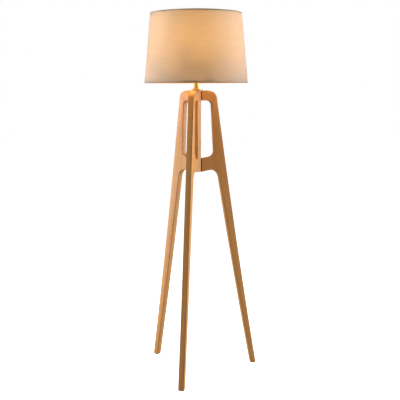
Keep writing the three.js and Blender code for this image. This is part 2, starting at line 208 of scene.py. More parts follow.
def finish_mesh(name, bm, sharp=32):
    """A smooth-shaded object from bm, with edges sharper than `sharp` degrees kept crisp."""
    bmesh.ops.remove_doubles(bm, verts=bm.verts, dist=1e-7)
    bmesh.ops.recalc_face_normals(bm, faces=bm.faces)
    mesh = bpy.data.meshes.new(name)
    bm.to_mesh(mesh)
    bm.free()
    mesh.shade_smooth()
    mesh.set_sharp_from_angle(angle=math.radians(sharp))
    thing = bpy.data.objects.new(name, mesh)
    bpy.context.scene.collection.objects.link(thing)
    return thing


def turned(name, profile, segments=96, closed=True, shape=None, sharp=32):
    """A body turned about the lamp's axis. shape(radius, z, angle) may vary the radius round the axis."""
    bm = bmesh.new()
    rings = []
    for radius, z in profile:
        if radius < 1e-6:
            rings.append([bm.verts.new((0, 0, z))])
            continue
        ring = []
        for i in range(segments):
            angle = TAU * i / segments
            r = shape(radius, z, angle) if shape else radius
            ring.append(bm.verts.new((r * math.cos(angle), r * math.sin(angle), z)))
        rings.append(ring)
    pairs = list(zip(rings, rings[1:]))
    if closed:
        pairs.append((rings[-1], rings[0]))
    for low, high in pairs:
        for i in range(segments):
            j = (i + 1) % segments
            corners = [low[i % len(low)], low[j % len(low)], high[j % len(high)], high[i % len(high)]]
            corners = list(dict.fromkeys(corners))
            if len(corners) > 2:
                bm.faces.new(corners)
    thing = finish_mesh(name, bm, sharp)
    thing.location = (AXIS.x, AXIS.y, 0)
    return thing


def inset(outline, distance):
    """The closed outline moved inwards by distance, corner by corner. It runs clockwise."""
    count = len(outline)
    moved = []
    for i in range(count):
        here = Vector(outline[i])
        back = (here - Vector(outline[i - 1])).normalized()
        ahead = (Vector(outline[(i + 1) % count]) - here).normalized()
        normal_back = Vector((back.y, -back.x))
        normal_ahead = Vector((ahead.y, -ahead.x))
        middle = (normal_back + normal_ahead).normalized()
        moved.append(here + middle * distance / max(middle.dot(normal_back), 0.3))
    return moved


def slab(name, outline, thickness, edge, steps=4):
    """A board with the given clockwise outline in its x, z plane, centred on y = 0, its edges rounded."""
    bm = bmesh.new()
    rows = []
    for i in range(2 * steps + 2):
        turn = math.radians(90) * (i % (steps + 1)) / steps
        if i <= steps:
            depth = edge * (1 - math.sin(turn))
            y = -(thickness / 2 - edge * (1 - math.cos(turn)))
        else:
            depth = edge * (1 - math.cos(turn))
            y = thickness / 2 - edge * (1 - math.sin(turn))
        rows.append([bm.verts.new((p[0], y, p[1])) for p in inset(outline, depth)])
    count = len(outline)
    for low, high in zip(rows, rows[1:]):
        for i in range(count):
            j = (i + 1) % count
            bm.faces.new((low[i], low[j], high[j], high[i]))
    bm.faces.new(rows[0])
    bm.faces.new(rows[-1])
    bm.normal_update()
    return finish_mesh(name, bm, sharp=50)


def swept(name, path, radius, sides=14, closed=False):
    """A round bar along a path in the lamp's own frame. radius may be a number or one for each point."""
    bm = bmesh.new()
    count = len(path)
    radii = radius if hasattr(radius, "__len__") else [radius] * count
    rings = []
    for i, point in enumerate(path):
        here = Vector(point)
        before = Vector(path[i - 1] if closed or i else path[0])
        after = Vector(path[(i + 1) % count] if closed or i < count - 1 else path[-1])
        along = (after - before).normalized()
        side = along.cross(Vector((0, 0, 1))).normalized()
        up = side.cross(along)
        turn = [TAU * k / sides for k in range(sides)]
        spread = [side * math.cos(a) + up * math.sin(a) for a in turn]
        rings.append([bm.verts.new(here + offset * radii[i]) for offset in spread])
    pairs = list(zip(rings, rings[1:]))
    if closed:
        pairs.append((rings[-1], rings[0]))
    for low, high in pairs:
        for k in range(sides):
            m = (k + 1) % sides
            bm.faces.new((low[k], low[m], high[m], high[k]))
    if not closed:
        bm.faces.new(rings[0])
        bm.faces.new(rings[-1])
    thing = finish_mesh(name, bm, sharp=50)
    thing.location = (AXIS.x, AXIS.y, 0)
    return thing


def cut_away(thing, tool):
    """Takes the tool's shape out of thing and deletes the tool."""
    cutter = thing.modifiers.new("cut", "BOOLEAN")
    cutter.operation = "DIFFERENCE"
    cutter.solver = "EXACT"
    cutter.object = tool
    bpy.context.view_layer.update()
    evaluated = thing.evaluated_get(bpy.context.evaluated_depsgraph_get())
    mesh = bpy.data.meshes.new_from_object(evaluated)
    thing.modifiers.clear()
    thing.data = mesh
    mesh.shade_smooth()
    mesh.set_sharp_from_angle(angle=math.radians(40))
    bpy.data.objects.remove(tool)


def place(thing, body, slot, material, *replaced):
    """Gives a piece its material, the body it rides on and the CAD nodes that it stands for."""
    thing.data.materials.clear()
    thing.data.materials.append(material)
    bpy.context.view_layer.update()
    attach(thing, body)
    if replaced:
        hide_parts(*replaced)
    return thing


def dress(node, material):
    """A CAD node that stays as it is gets a better material."""
    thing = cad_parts[node]
    thing.data.materials.clear()
    thing.data.materials.append(material)


# ---- materials ----


def linear(code):
    """A hex sRGB colour as the linear colour that shaders work in."""
    channels = [int(code[i:i + 2], 16) / 255 for i in (1, 3, 5)]
    return [c / 12.92 if c <= 0.04045 else ((c + 0.055) / 1.055) ** 2.4 for c in channels] + [1.0]


def node(tree, kind, inputs=None, **settings):
    """Adds a node with its settings, and fills or links its inputs, which are named or numbered."""
    made = tree.nodes.new(kind)
    for name, value in settings.items():
        setattr(made, name, value)
    for key, value in (inputs or {}).items():
        if isinstance(value, bpy.types.NodeSocket):
            tree.links.new(value, made.inputs[key])
        else:
            made.inputs[key].default_value = value
    return made


def new_material(name):
    material = bpy.data.materials.new(name)
    material.use_nodes = True
    material.node_tree.nodes.clear()
    return material, material.node_tree


def show(tree, shader):
    node(tree, "ShaderNodeOutputMaterial", {"Surface": shader.outputs[0]})


def mottled(tree, code, cloud_mm, detail, start, end):
    """Soft clouds of a size, and a colour that drifts with them between two shares of its brightness."""
    position = node(tree, "ShaderNodeTexCoord").outputs["Object"]
    clouds = node(tree, "ShaderNodeTexNoise", {"Vector": position, "Scale": 1 / (cloud_mm * MM),
                                               "Detail": detail})
    shades = [[c * share for c in linear(code)[:3]] + [1.0] for share in (start, end)]
    colour = node(tree, "ShaderNodeMix", {0: clouds.outputs[0], 6: shades[0], 7: shades[1]},
                  data_type="RGBA")
    return clouds.outputs[0], colour.outputs[2]


def oiled_oak(stand, butt=None):
    """Oak, planed and oiled: straight grain with fine dark pores, satin on the planed faces.

    A board that butts against the post at the distance `butt` from the axis has painted shadow there, and
    its sawn edges are darker than its faces: from the oil they drink, and along each arris as painted
    shade."""
    material, tree = new_material("oak board, planed and oiled" if butt else "oak, planed and oiled")
    position = node(tree, "ShaderNodeTexCoord").outputs["Object"]
    piece = node(tree, "ShaderNodeObjectInfo").outputs["Random"]
    # each board is cut from its own stretch of the log
    shift = node(tree, "ShaderNodeCombineXYZ", {0: 0.11, 1: 0.05, 2: piece})
    moved = node(tree, "ShaderNodeVectorMath", {0: position, 1: shift.outputs[0]}, operation="ADD")
    split = node(tree, "ShaderNodeSeparateXYZ", {0: moved.outputs[0]})
    # the grain follows the leg, which leans in
    lean = node(tree, "ShaderNodeMath", {0: split.outputs[2], 1: LEG_LEAN, 2: split.outputs[0]},
                operation="MULTIPLY_ADD")
    grain = node(tree, "ShaderNodeCombineXYZ", {0: lean.outputs[0], 1: split.outputs[1],
                                                2: split.outputs[2]})

    def along(across_mm, length_mm, detail=2.0, roughness=0.5):
        scale = (1 / (across_mm * MM), 1 / (across_mm * MM), 1 / (length_mm * MM))
        sized = node(tree, "ShaderNodeVectorMath", {0: grain.outputs[0], 1: scale}, operation="MULTIPLY")
        return node(tree, "ShaderNodeTexNoise", {"Vector": sized.outputs[0], "Scale": 1.0,
                                                 "Detail": detail, "Roughness": roughness})

    # growth rings round the pith, drawn out along the board, with a waver of up to four rings
    waver = along(60, 500)
    pith = node(tree, "ShaderNodeVectorMath", {0: grain.outputs[0], 1: (1.0, 1.0, 0.03)},
                operation="MULTIPLY")
    reach = node(tree, "ShaderNodeVectorMath", {0: pith.outputs[0]}, operation="LENGTH")
    wavy = node(tree, "ShaderNodeMath", {0: waver.outputs[0], 1: 4 * stand.ring_spacing,
                                         2: reach.outputs["Value"]}, operation="MULTIPLY_ADD")
    years = node(tree, "ShaderNodeMath", {0: wavy.outputs[0], 1: stand.ring_spacing}, operation="DIVIDE")
    year = node(tree, "ShaderNodeMath", {0: years.outputs[0]}, operation="FRACT")
    face_figure = 0.55
    edge_figure = 0.15
    figure = face_figure
    if butt:
        normal = node(tree, "ShaderNodeTexCoord").outputs["Normal"]
        across = node(tree, "ShaderNodeSeparateXYZ", {0: normal}).outputs[1]
        flat = node(tree, "ShaderNodeMath", {0: across}, operation="ABSOLUTE").outputs[0]
        # the oil evens out the figure on the sawn edges
        figure = node(tree, "ShaderNodeMapRange", {0: flat, 1: 0.2, 2: 0.8, 3: edge_figure,
                                                   4: face_figure}).outputs[0]
    late = node(tree, "ShaderNodeMapRange", {0: year.outputs[0], 1: 0.15, 2: 0.95, 3: 0.0, 4: figure},
                interpolation_type="SMOOTHSTEP")
    fibre = along(0.9, 45, 3.0)
    tone = along(22, 700)
    bands = node(tree, "ShaderNodeMath", {0: fibre.outputs[0], 1: 0.7, 2: late.outputs[0]},
                 operation="MULTIPLY_ADD")
    blend = node(tree, "ShaderNodeMath", {0: tone.outputs[0], 1: 0.9, 2: bands.outputs[0]},
                 operation="MULTIPLY_ADD")
    share = node(tree, "ShaderNodeMapRange", {0: blend.outputs[0], 1: 0.55, 2: 1.45})
    wood = node(tree, "ShaderNodeMix", {0: share.outputs[0], 6: linear(stand.oak_light),
                                        7: linear(stand.oak_dark)}, data_type="RGBA")
    # pores: real ones are 0.3 mm wide, drawn twice as wide so that they show
    pores = along(0.6, 9, 1.0)
    open_pores = node(tree, "ShaderNodeMapRange", {0: pores.outputs[0], 1: 0.60, 2: 0.72, 3: 0.0,
                                                   4: 0.55})
    coloured = node(tree, "ShaderNodeMix", {0: open_pores.outputs[0], 6: wood.outputs[2],
                                            7: linear(stand.oak_pore)}, data_type="RGBA")
    if butt:
        radial = node(tree, "ShaderNodeSeparateXYZ", {0: position}).outputs[0]
        # the painted shadow where the board meets the post is darkest over its first third and fades out
        # over the rest
        joint_shadow = node(tree, "ShaderNodeMapRange", {0: radial, 1: butt + stand.joint_shadow_width / 3,
                                                  2: butt + stand.joint_shadow_width, 3: 0.25, 4: 1.0})
        # the sawn edges are darker from the oil they drink, and a darker line of painted shade runs along
        # the arris of each edge
        sideways = node(tree, "ShaderNodeSeparateXYZ", {0: position}).outputs[1]
        beside = node(tree, "ShaderNodeMath", {0: sideways}, operation="ABSOLUTE")
        arris = stand.board_thickness / 2
        line = node(tree, "ShaderNodeMapRange", {0: beside.outputs[0], 1: arris - 5 * MM,
                                                 2: arris - 2 * MM, 3: stand.edge_tone,
                                                 4: stand.arris_tone})
        # darkens the sawn edges, partly as oil and, along the arrises, as painted shade
        oiled = node(tree, "ShaderNodeMapRange", {0: flat, 1: 0.2, 2: 0.8, 3: line.outputs[0], 4: 1.0})
        clear = node(tree, "ShaderNodeMath", {0: joint_shadow.outputs[0], 1: oiled.outputs[0]},
                     operation="MULTIPLY")
        # mixes in the painted shadow at the post, the painted shade along the arrises and the
        # oil-darkened sawn edges
        coloured = node(tree, "ShaderNodeMix", {0: clear.outputs[0], 6: linear(stand.oak_shade_and_oil),
                                                7: coloured.outputs[2]}, data_type="RGBA")
    satin = node(tree, "ShaderNodeMapRange", {0: fibre.outputs[0], 1: 0.2, 2: 0.8, 3: 0.42, 4: 0.56})
    relief = node(tree, "ShaderNodeMath", {0: open_pores.outputs[0], 1: -1.0, 2: fibre.outputs[0]},
                  operation="MULTIPLY_ADD")
    bump = node(tree, "ShaderNodeBump", {"Strength": 0.25, "Distance": 0.2 * MM,
                                         "Height": relief.outputs[0]})
    show(tree, node(tree, "ShaderNodeBsdfPrincipled", {
        "Base Color": coloured.outputs[2], "Roughness": satin.outputs[0], "IOR": 1.47,
        "Normal": bump.outputs[0]}))
    return material


def wool_felt(stand):
    """Pressed wool felt: matt, with a fine mottle of fibres."""
    material, tree = new_material("wool felt, pressed")
    fibres, colour = mottled(tree, stand.felt, cloud_mm=1.2, detail=3.0, start=0.6, end=1.0)
    bump = node(tree, "ShaderNodeBump", {"Strength": 0.6, "Distance": 0.4 * MM, "Height": fibres})
    show(tree, node(tree, "ShaderNodeBsdfPrincipled", {
        "Base Color": colour, "Roughness": 0.95, "Sheen Weight": 0.4, "Normal": bump.outputs[0]}))
    return material


def lacquered_brass(metal):
    """Brass, turned, polished and lacquered: sharp reflections with faint rings left by the lathe."""
    material, tree = new_material("brass, polished and lacquered")
    position = node(tree, "ShaderNodeTexCoord").outputs["Object"]
    # lathe rings are a few hundredths of a millimetre apart, drawn 0.6 mm apart so that they show.
    # Each one runs round the piece, and changes only over some 33 mm
    ring_pitch, ring_run = 0.6 * MM, 33.333 * MM
    rate = (1 / ring_run, 1 / ring_run, 1 / ring_pitch)
    squash = node(tree, "ShaderNodeVectorMath", {0: position, 1: rate}, operation="MULTIPLY")
    rings = node(tree, "ShaderNodeTexNoise", {"Vector": squash.outputs[0], "Scale": 1.0, "Detail": 2.0})
    cloudy, colour = mottled(tree, metal.brass, cloud_mm=11.111, detail=4.0, start=1.0, end=0.82)
    rough = node(tree, "ShaderNodeMapRange", {0: cloudy, 1: 0.3, 2: 0.75, 3: 0.32, 4: 0.44})
    bump = node(tree, "ShaderNodeBump", {"Strength": 0.04, "Distance": 0.2 * MM,
                                         "Height": rings.outputs[0]})
    show(tree, node(tree, "ShaderNodeBsdfPrincipled", {
        "Base Color": colour, "Metallic": 1.0, "Roughness": rough.outputs[0],
        "Coat Weight": 0.15, "Coat Roughness": 0.12, "Normal": bump.outputs[0]}))
    return material


def zinc_plate(metal):
    """Steel, zinc plated: a cool grey with a cloudy, slightly rough shine."""
    material, tree = new_material("steel, zinc plated")
    cloudy, colour = mottled(tree, metal.zinc, cloud_mm=4.5455, detail=4.0, start=1.0, end=0.8)
    rough = node(tree, "ShaderNodeMapRange", {0: cloudy, 1: 0.3, 2: 0.7, 3: 0.26, 4: 0.42})
    show(tree, node(tree, "ShaderNodeBsdfPrincipled", {
        "Base Color": colour, "Metallic": 1.0, "Roughness": rough.outputs[0]}))
    return material


def phenolic(metal):
    """Phenolic plastic, moulded: nearly black, satin, with a faint orange-peel skin."""
    material, tree = new_material("phenolic plastic, moulded")
    position = node(tree, "ShaderNodeTexCoord").outputs["Object"]
    skin = node(tree, "ShaderNodeTexNoise", {"Vector": position, "Scale": 1 / (1.5 * MM), "Detail": 2.0})
    rough = node(tree, "ShaderNodeMapRange", {0: skin.outputs[0], 1: 0.3, 2: 0.7, 3: 0.30, 4: 0.42})
    bump = node(tree, "ShaderNodeBump", {"Strength": 0.15, "Distance": 0.2 * MM,
                                         "Height": skin.outputs[0]})
    show(tree, node(tree, "ShaderNodeBsdfPrincipled", {
        "Base Color": linear(metal.plastic), "Roughness": rough.outputs[0], "IOR": 1.6,
        "Normal": bump.outputs[0]}))
    return material


def coated_wire(metal):
    """Steel wire, powder coated white: smooth, softly shining, slightly uneven."""
    material, tree = new_material("wire, powder coated")
    position = node(tree, "ShaderNodeTexCoord").outputs["Object"]
    peel = node(tree, "ShaderNodeTexNoise", {"Vector": position, "Scale": 1 / (2.0 * MM), "Detail": 2.0})
    rough = node(tree, "ShaderNodeMapRange", {0: peel.outputs[0], 1: 0.3, 2: 0.7, 3: 0.36, 4: 0.48})
    bump = node(tree, "ShaderNodeBump", {"Strength": 0.2, "Distance": 0.2 * MM,
                                         "Height": peel.outputs[0]})
    show(tree, node(tree, "ShaderNodeBsdfPrincipled", {
        "Base Color": linear(metal.wire), "Roughness": rough.outputs[0], "Normal": bump.outputs[0]}))
    return material


def slub_linen(shade, name, yarn_colour, slub_colour, through):
    """Linen, plain woven from slubby yarn: light shows through it, brightest between the thick places."""
    material, tree = new_material(name)
    position = node(tree, "ShaderNodeTexCoord").outputs["Object"]
    split = node(tree, "ShaderNodeSeparateXYZ", {0: position})
    angle = node(tree, "ShaderNodeMath", {0: split.outputs[0], 1: split.outputs[1]}, operation="ARCTAN2")
    mean_radius = radius_of("upper_trim") / 2 + radius_of("lower_trim") / 2
    around = node(tree, "ShaderNodeMath", {0: angle.outputs[0], 1: mean_radius}, operation="MULTIPLY")
    cloth = node(tree, "ShaderNodeCombineXYZ", {0: around.outputs[0], 1: split.outputs[2], 2: 0.0})

    def threads(x_size, y_size, detail=2.0):
        sized = node(tree, "ShaderNodeVectorMath", {0: cloth.outputs[0], 1: (1 / x_size, 1 / y_size, 1)},
                     operation="MULTIPLY")
        return node(tree, "ShaderNodeTexNoise", {"Vector": sized.outputs[0], "Scale": 1.0,
                                                 "Detail": detail})

    weft = threads(shade.slub_length, 1.6 * shade.yarn)
    warp = threads(1.6 * shade.yarn, 1.6 * shade.slub_length)
    broad = threads(3 * shade.slub_length, 6 * shade.yarn)
    crossed = node(tree, "ShaderNodeMath", {0: warp.outputs[0], 1: 0.45, 2: weft.outputs[0]},
                   operation="MULTIPLY_ADD")
    summed = node(tree, "ShaderNodeMath", {0: broad.outputs[0], 1: 0.5, 2: crossed.outputs[0]},
                  operation="MULTIPLY_ADD")
    thick = node(tree, "ShaderNodeMapRange", {0: summed.outputs[0], 1: 0.72, 2: 1.22})
    colour = node(tree, "ShaderNodeMix", {0: thick.outputs[0], 6: linear(yarn_colour),
                                          7: linear(slub_colour)}, data_type="RGBA")
    # the weave itself, drawn about twice as coarse as real linen so that it shows
    wave_period = 0.314  # of a wave texture at a scale of one, in metres
    over, under = [
        node(tree, "ShaderNodeTexWave", {"Vector": cloth.outputs[0], "Scale": wave_period / shade.yarn,
                                         "Distortion": 0.6}, bands_direction=way)
        for way in ("Y", "X")]
    weave = node(tree, "ShaderNodeMath", {0: over.outputs["Fac"], 1: under.outputs["Fac"]},
                 operation="MAXIMUM")
    height = node(tree, "ShaderNodeMath", {0: thick.outputs[0], 1: 1.2, 2: weave.outputs[0]},
                  operation="MULTIPLY_ADD")
    bump = node(tree, "ShaderNodeBump", {"Strength": 0.5, "Distance": 0.4 * MM,
                                         "Height": height.outputs[0]})
    front = node(tree, "ShaderNodeBsdfPrincipled", {
        "Base Color": colour.outputs[2], "Roughness": 0.9, "Sheen Weight": 0.65, "Sheen Roughness": 0.5,
        "Specular IOR Level": 0.25, "Normal": bump.outputs[0]})
    behind = node(tree, "ShaderNodeBsdfTranslucent", {"Color": colour.outputs[2],
                                                      "Normal": bump.outputs[0]})
    show(tree, node(tree, "ShaderNodeMixShader", {0: through, 1: front.outputs[0], 2: behind.outputs[0]}))
    return material


def styrene_film(shade):
    """Styrene film, extruded: smooth and milky, so the bulb shows through it as an even glow."""
    material, tree = new_material("styrene film, extruded")
    colour = mottled(tree, shade.liner, cloud_mm=25, detail=3.0, start=1.0, end=0.93)[1]
    front = node(tree, "ShaderNodeBsdfPrincipled", {"Base Color": colour, "Roughness": 0.45})
    behind = node(tree, "ShaderNodeBsdfTranslucent", {"Color": colour})
    through = 0.90  # share of the light that passes the film instead of turning back
    show(tree, node(tree, "ShaderNodeMixShader", {0: through, 1: front.outputs[0], 2: behind.outputs[0]}))
    return material


def lit_glass(shade):
    """Opal glass, blown and lit: milk white, with the light of the lamp inside it."""
    material, tree = new_material("opal glass, lit")
    show(tree, node(tree, "ShaderNodeBsdfPrincipled", {
        "Base Color": linear(shade.opal), "Roughness": 0.12, "Emission Color": linear(shade.glow_colour),
        "Emission Strength": shade.opal_level}))
    # the light inside the glass lights the shade, so the glass need not be sampled as well
    material.cycles.emission_sampling = "NONE"
    return material


# ---- shapes ----


def board_outline():
    """A leg board in millimetres, clockwise from the top of the post: x from the lamp's axis, z up."""
    low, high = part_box("front_leg_board")
    inner = (AXIS.y - high.y) / MM
    reach = (AXIS.y - low.y) / MM
    foot = low.z / MM
    top = high.z / MM
    # the flat of the arm, its round shoulder, and the long outer curve down to the foot
    arm_end = (50, top)
    shoulder = (91.5, top - 35.7)
    outer_bow = (181.5, 575.5)
    outline = [(inner, top), arm_end]
    outline += bezier([arm_end, (78, top - 3.5), (89, top - 13.5), shoulder], 16)
    outline += bezier([shoulder, outer_bow, (reach, foot)], 40)
    # back up the inner curve to the arch under the bridge. lean and tilt are the slopes of the
    # inner curve and of the window's side, in degrees
    lean, tilt = 9.5, 2.9
    heel = (258.6, foot)
    inner_bow = (171.8, 449.5)
    arch = arc(62, 872.3, 40, lean, 90 + lean, 20)
    outline += [heel]
    outline += bezier([heel, inner_bow, arch[0]], 30)
    outline += arch[1:]
    # the bridge between the leg and the post, and the window above it
    bridge_low, bridge_high = 905.4, 963.5
    sill_radius, head_radius = 28, 22
    window_top = top - 43.1
    outline += [(inner, bridge_low), (inner, bridge_high)]
    outline += arc(50.5, 997, sill_radius, lean - 90, tilt, 18)
    outline += arc(46.5, window_top - head_radius, head_radius, tilt, 90, 16)
    outline += [(inner, window_top)]
    return outline


def build_leg(side, stand, wood, felt):
    azimuth = math.radians(LEGS[side])
    outline = [(x * MM, z * MM) for x, z in board_outline()]
    board = slab(f"{side}_leg", outline, stand.board_thickness, stand.edge_radius)
    board.location = (AXIS.x, AXIS.y, 0)
    board.rotation_euler.z = azimuth
    place(board, "stand", "oak", wood, f"{side}_leg_board")

    low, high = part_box("front_foot_pad")
    near, far = AXIS.y - high.y, AXIS.y - low.y
    half = radius_of("front_foot_pad")
    corners = [(near, -half), (near, half), (far, half), (far, -half)]
    corner_radius, pad_edge = 2 * MM, 0.6 * MM
    pad = slab(f"{side}_felt", soften(corners, corner_radius), high.z - low.z, pad_edge)
    pad.rotation_euler = (math.radians(90), 0, azimuth)
    pad.location = (AXIS.x, AXIS.y, (low.z + high.z) / 2)
    place(pad, "stand", "felt", felt, f"{side}_foot_pad")


def build_post(wood):
    low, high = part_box("centre_post")
    side = (high.y - low.y) / math.sqrt(3)
    corners = [(side * math.cos(TAU * i / 6), -side * math.sin(TAU * i / 6)) for i in range(6)]
    corner_radius, post_edge = 1.6 * MM, 0.8 * MM
    post = slab("post", soften(corners, corner_radius, 5), high.z - low.z, post_edge)
    post.data.transform(Matrix.Rotation(math.radians(90), 4, "X"))
    post.data.transform(Matrix.Translation((0, 0, (low.z + high.z) / 2)))
    bore = radius_of("threaded_rod") + PLAY
    pocket = radius_of("cord_bush") + PLAY
    pocket_top = heights_of("lower_washer")[1] + PLAY
    below, above = low.z - 5 * MM, high.z + 5 * MM
    tool = turned("post_bore", [(0, below), (pocket, below), (pocket, pocket_top), (bore, pocket_top),
                                (bore, above), (0, above)], segments=64)
    post.location = (AXIS.x, AXIS.y, 0)
    cut_away(post, tool)
    place(post, "stand", "oak", wood, "centre_post")


def build_neck(brass):
    low, high = heights_of("cap_disc")
    cap_r = radius_of("cap_disc")
    bore = radius_of("threaded_rod") + PLAY
    disc = soften([(bore, low), (cap_r, low), (cap_r, high), (bore, high)], 1.4 * MM, 6)
    place(turned("cap", disc, 128), "stand", "brass", brass, "cap_disc")

    low, high = heights_of("neck_tube")
    # the tube stands on a small foot ring that is a little wider
    outer = radius_of("neck_tube")
    ring = 1.8 * MM
    tube = outer - ring
    wall = 1.6 * MM
    profile = [(tube - wall, low), (outer, low), (outer, low + 1.6 * MM),
               (tube + 0.6 * MM, low + 2.4 * MM), (tube, low + 5 * MM), (tube, high),
               (tube - wall, high)]
    place(turned("neck", soften(profile, 0.7 * MM, 4), 96), "stand", "brass", brass, "neck_tube")


def knuckle(rise, pitch, low, high):
    """A rounded screw thread between two heights, fading out over one pitch at each end."""
    def shape(radius, z, angle):
        fade = max(0.0, min(1.0, (z - low) / pitch, (high - z) / pitch))
        return radius + rise * fade * math.sin(TAU * z / pitch - angle)
    return shape


def wall_profile(inner, outer, low, high, steps):
    """A tube wall with enough rows for a thread."""
    up = [(outer, low + (high - low) * i / steps) for i in range(steps + 1)]
    down = [(inner, high - (high - low) * i / steps) for i in range(steps + 1)]
    return up + down


def build_lampholder(metal, brass, plastic):
    low, high = heights_of("holder_cap")
    outer = radius_of("holder_cap")
    wall = 1.2 * MM
    bore = radius_of("threaded_rod") + PLAY
    # the cap swells from its flat bottom to a straight side with a rolled bead near the top
    bottom = 13 * MM
    swell_height = 11 * MM
    swell = [(bottom + (outer - bottom) * math.sin(t), low + swell_height * (1 - math.cos(t)))
             for t in (math.radians(6 * i) for i in range(16))]
    bead = high - 3 * MM
    bead_radius = 1.1 * MM
    outside = swell + [(outer, bead - 1.6 * MM)]
    outside += arc(outer - 0.6 * MM, bead, bead_radius, -50, 50, 6)
    outside += [(outer, high)]
    inside = [(r - wall, z + wall) for r, z in reversed(swell)]
    profile = [(bore, low)] + outside + [(outer - wall, high)] + inside + [(bore, low + wall)]
    cap = turned("lampholder_cap", profile, 96)
    bar_z = centre_of("switch_bar").z
    hole_radius = 2.7 * MM
    hole = swept("switch_hole", [(-50 * MM, 0, bar_z), (50 * MM, 0, bar_z)], hole_radius, 32)
    cut_away(cap, hole)
    place(cap, "stand", "brass", brass, "holder_cap")

    low, high = heights_of("holder_skirt")
    collar_r = radius_of("holder_skirt")
    collar_z = heights_of("fitter_ring")[0] - PLAY
    collar, bevel = 2 * MM, 0.4 * MM
    inner, outer = 17.8 * MM, 19.4 * MM
    pitch, rise = 2.5 * MM, 0.3 * MM
    rows = 60
    threaded = [(outer, collar_z + (high - collar_z) * i / rows) for i in range(rows + 1)]
    profile = [(inner, low), (outer, low), (outer, collar_z - collar),
               (collar_r - bevel, collar_z - collar), (collar_r, collar_z - collar + bevel),
               (collar_r, collar_z - bevel), (collar_r - bevel, collar_z)]
    profile += threaded + [(inner, high)]
    thread = knuckle(rise, pitch, collar_z, high)

    def only_outside(radius, z, angle):
        return thread(radius, z, angle) if abs(radius - outer) < 1e-6 and z > collar_z else radius
    skirt = turned("lampholder_skirt", profile, 96, shape=only_outside)
    place(skirt, "stand", "brass", brass, "holder_skirt")

    low, high = heights_of("screw_shell")
    shape = knuckle(THREAD_RISE, metal.thread_pitch, low, high)
    inner, outer = 13.9 * MM, 14.35 * MM
    profile = wall_profile(inner, outer, low, high, 56)
    place(turned("socket_shell", profile, 72, shape=shape), "stand", "brass", brass, "screw_shell")

    low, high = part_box("switch_bar")
    bar_r = (high.z - low.z) / 2
    half = (high.x - low.x) / 2
    profile = [(0, -half), (bar_r, -half), (bar_r, half), (0, half)]
    bar = turned("switch_rod", soften(profile, 0.9 * MM, 6, closed=False), 48, closed=False)
    bar.rotation_euler.y = math.radians(90)
    bar.location = (low + high) / 2
    place(bar, "switch_bar", "bakelite", plastic, "switch_bar")

    low, high = heights_of("shade_ring")
    outer = radius_of("shade_ring")
    inner = 19.8 * MM
    profile = [(inner, low), (outer, low), (outer, high - 3 * MM), (outer - 2.4 * MM, high - 2.2 * MM),
               (outer - 3.4 * MM, high), (inner, high)]
    rib_count, rib_depth = 36, 0.7 * MM

    def ribs(radius, z, angle):
        depth = rib_depth if radius > outer - 1 * MM else 0.0
        return radius - depth * (0.5 + 0.5 * math.cos(rib_count * angle)) ** 2
    clamp = turned("clamp_ring", soften(profile, 0.7 * MM, 3), 360, shape=ribs)
    place(clamp, "shade_ring", "bakelite", plastic, "shade_ring")


def build_bulb(metal, shade, zinc, brass, plastic, glass):
    low, high = heights_of("bulb_cap")
    cap_r = radius_of("bulb_cap")
    wall = 0.5 * MM
    # the cap closes in below its thread, to the ring that holds the insulator
    rows = 64
    taper, ring = 3 * MM, 9.6 * MM
    side = [(cap_r - THREAD_RISE, low + taper + (high - low - taper) * i / rows)
            for i in range(rows + 1)]
    inside = [(r - wall, z) for r, z in reversed(side)]
    profile = [(ring, low)] + side + inside + [(ring, low + wall)]
    shape = knuckle(THREAD_RISE, metal.thread_pitch, low + taper, high)
    place(turned("bulb_screw_cap", profile, 96, shape=shape), "bulb", "steel", zinc, "bulb_cap")

    low, high = heights_of("bulb_glass")
    radius = radius_of("bulb_glass")
    mouth = heights_of("bulb_cap")[1] + PLAY
    neck = 12.2 * MM
    widest = high - 34 * MM
    wall = 1 * MM

    def side_of(shrink):
        curve = bezier([(neck - shrink, mouth), (neck - shrink, mouth + 18 * MM),
                        (radius - shrink, mouth + 22 * MM), (radius - shrink, widest)], 24)
        quarter = [math.radians(90 * i / 24) for i in range(1, 24)]
        dome = [((radius - shrink) * math.cos(t), widest + (high - widest - shrink) * math.sin(t))
                for t in quarter]
        return [(neck - shrink, low), (neck - shrink, mouth)] + curve + dome + [(0, high - shrink)]
    profile = list(reversed(side_of(wall))) + side_of(0)
    bulb = turned("bulb_envelope", profile, 72, closed=False)
    place(bulb, "bulb", "opal_glass", glass, "bulb_glass")
    # the bulb's light starts inside the glass, which lets it out without a shadow
    bulb.visible_shadow = False
    light = bpy.data.lights.new("bulb_light", "POINT")
    light.energy = shade.glow
    light.color = linear(shade.glow_colour)[:3]
    light.shadow_soft_size = radius - 6 * MM
    light.cycles.use_multiple_importance_sampling = False
    source = bpy.data.objects.new("bulb_light", light)
    source.location = (AXIS.x, AXIS.y, widest - 8 * MM)
    source.visible_camera = False
    bpy.context.scene.collection.objects.link(source)
    dress("bulb_contact", brass)
    dress("bulb_insulator", plastic)


def shade_side():
    """The radius of the shade's outside at a height. It narrows evenly from the lower trim up."""
    low, high = heights_of("lower_trim")[0], heights_of("upper_trim")[1]
    taper = 27.4 * MM
    wide = radius_of("lower_trim")
    narrow = wide - taper
    return lambda z: wide + (narrow - wide) * (z - low) / (high - low)


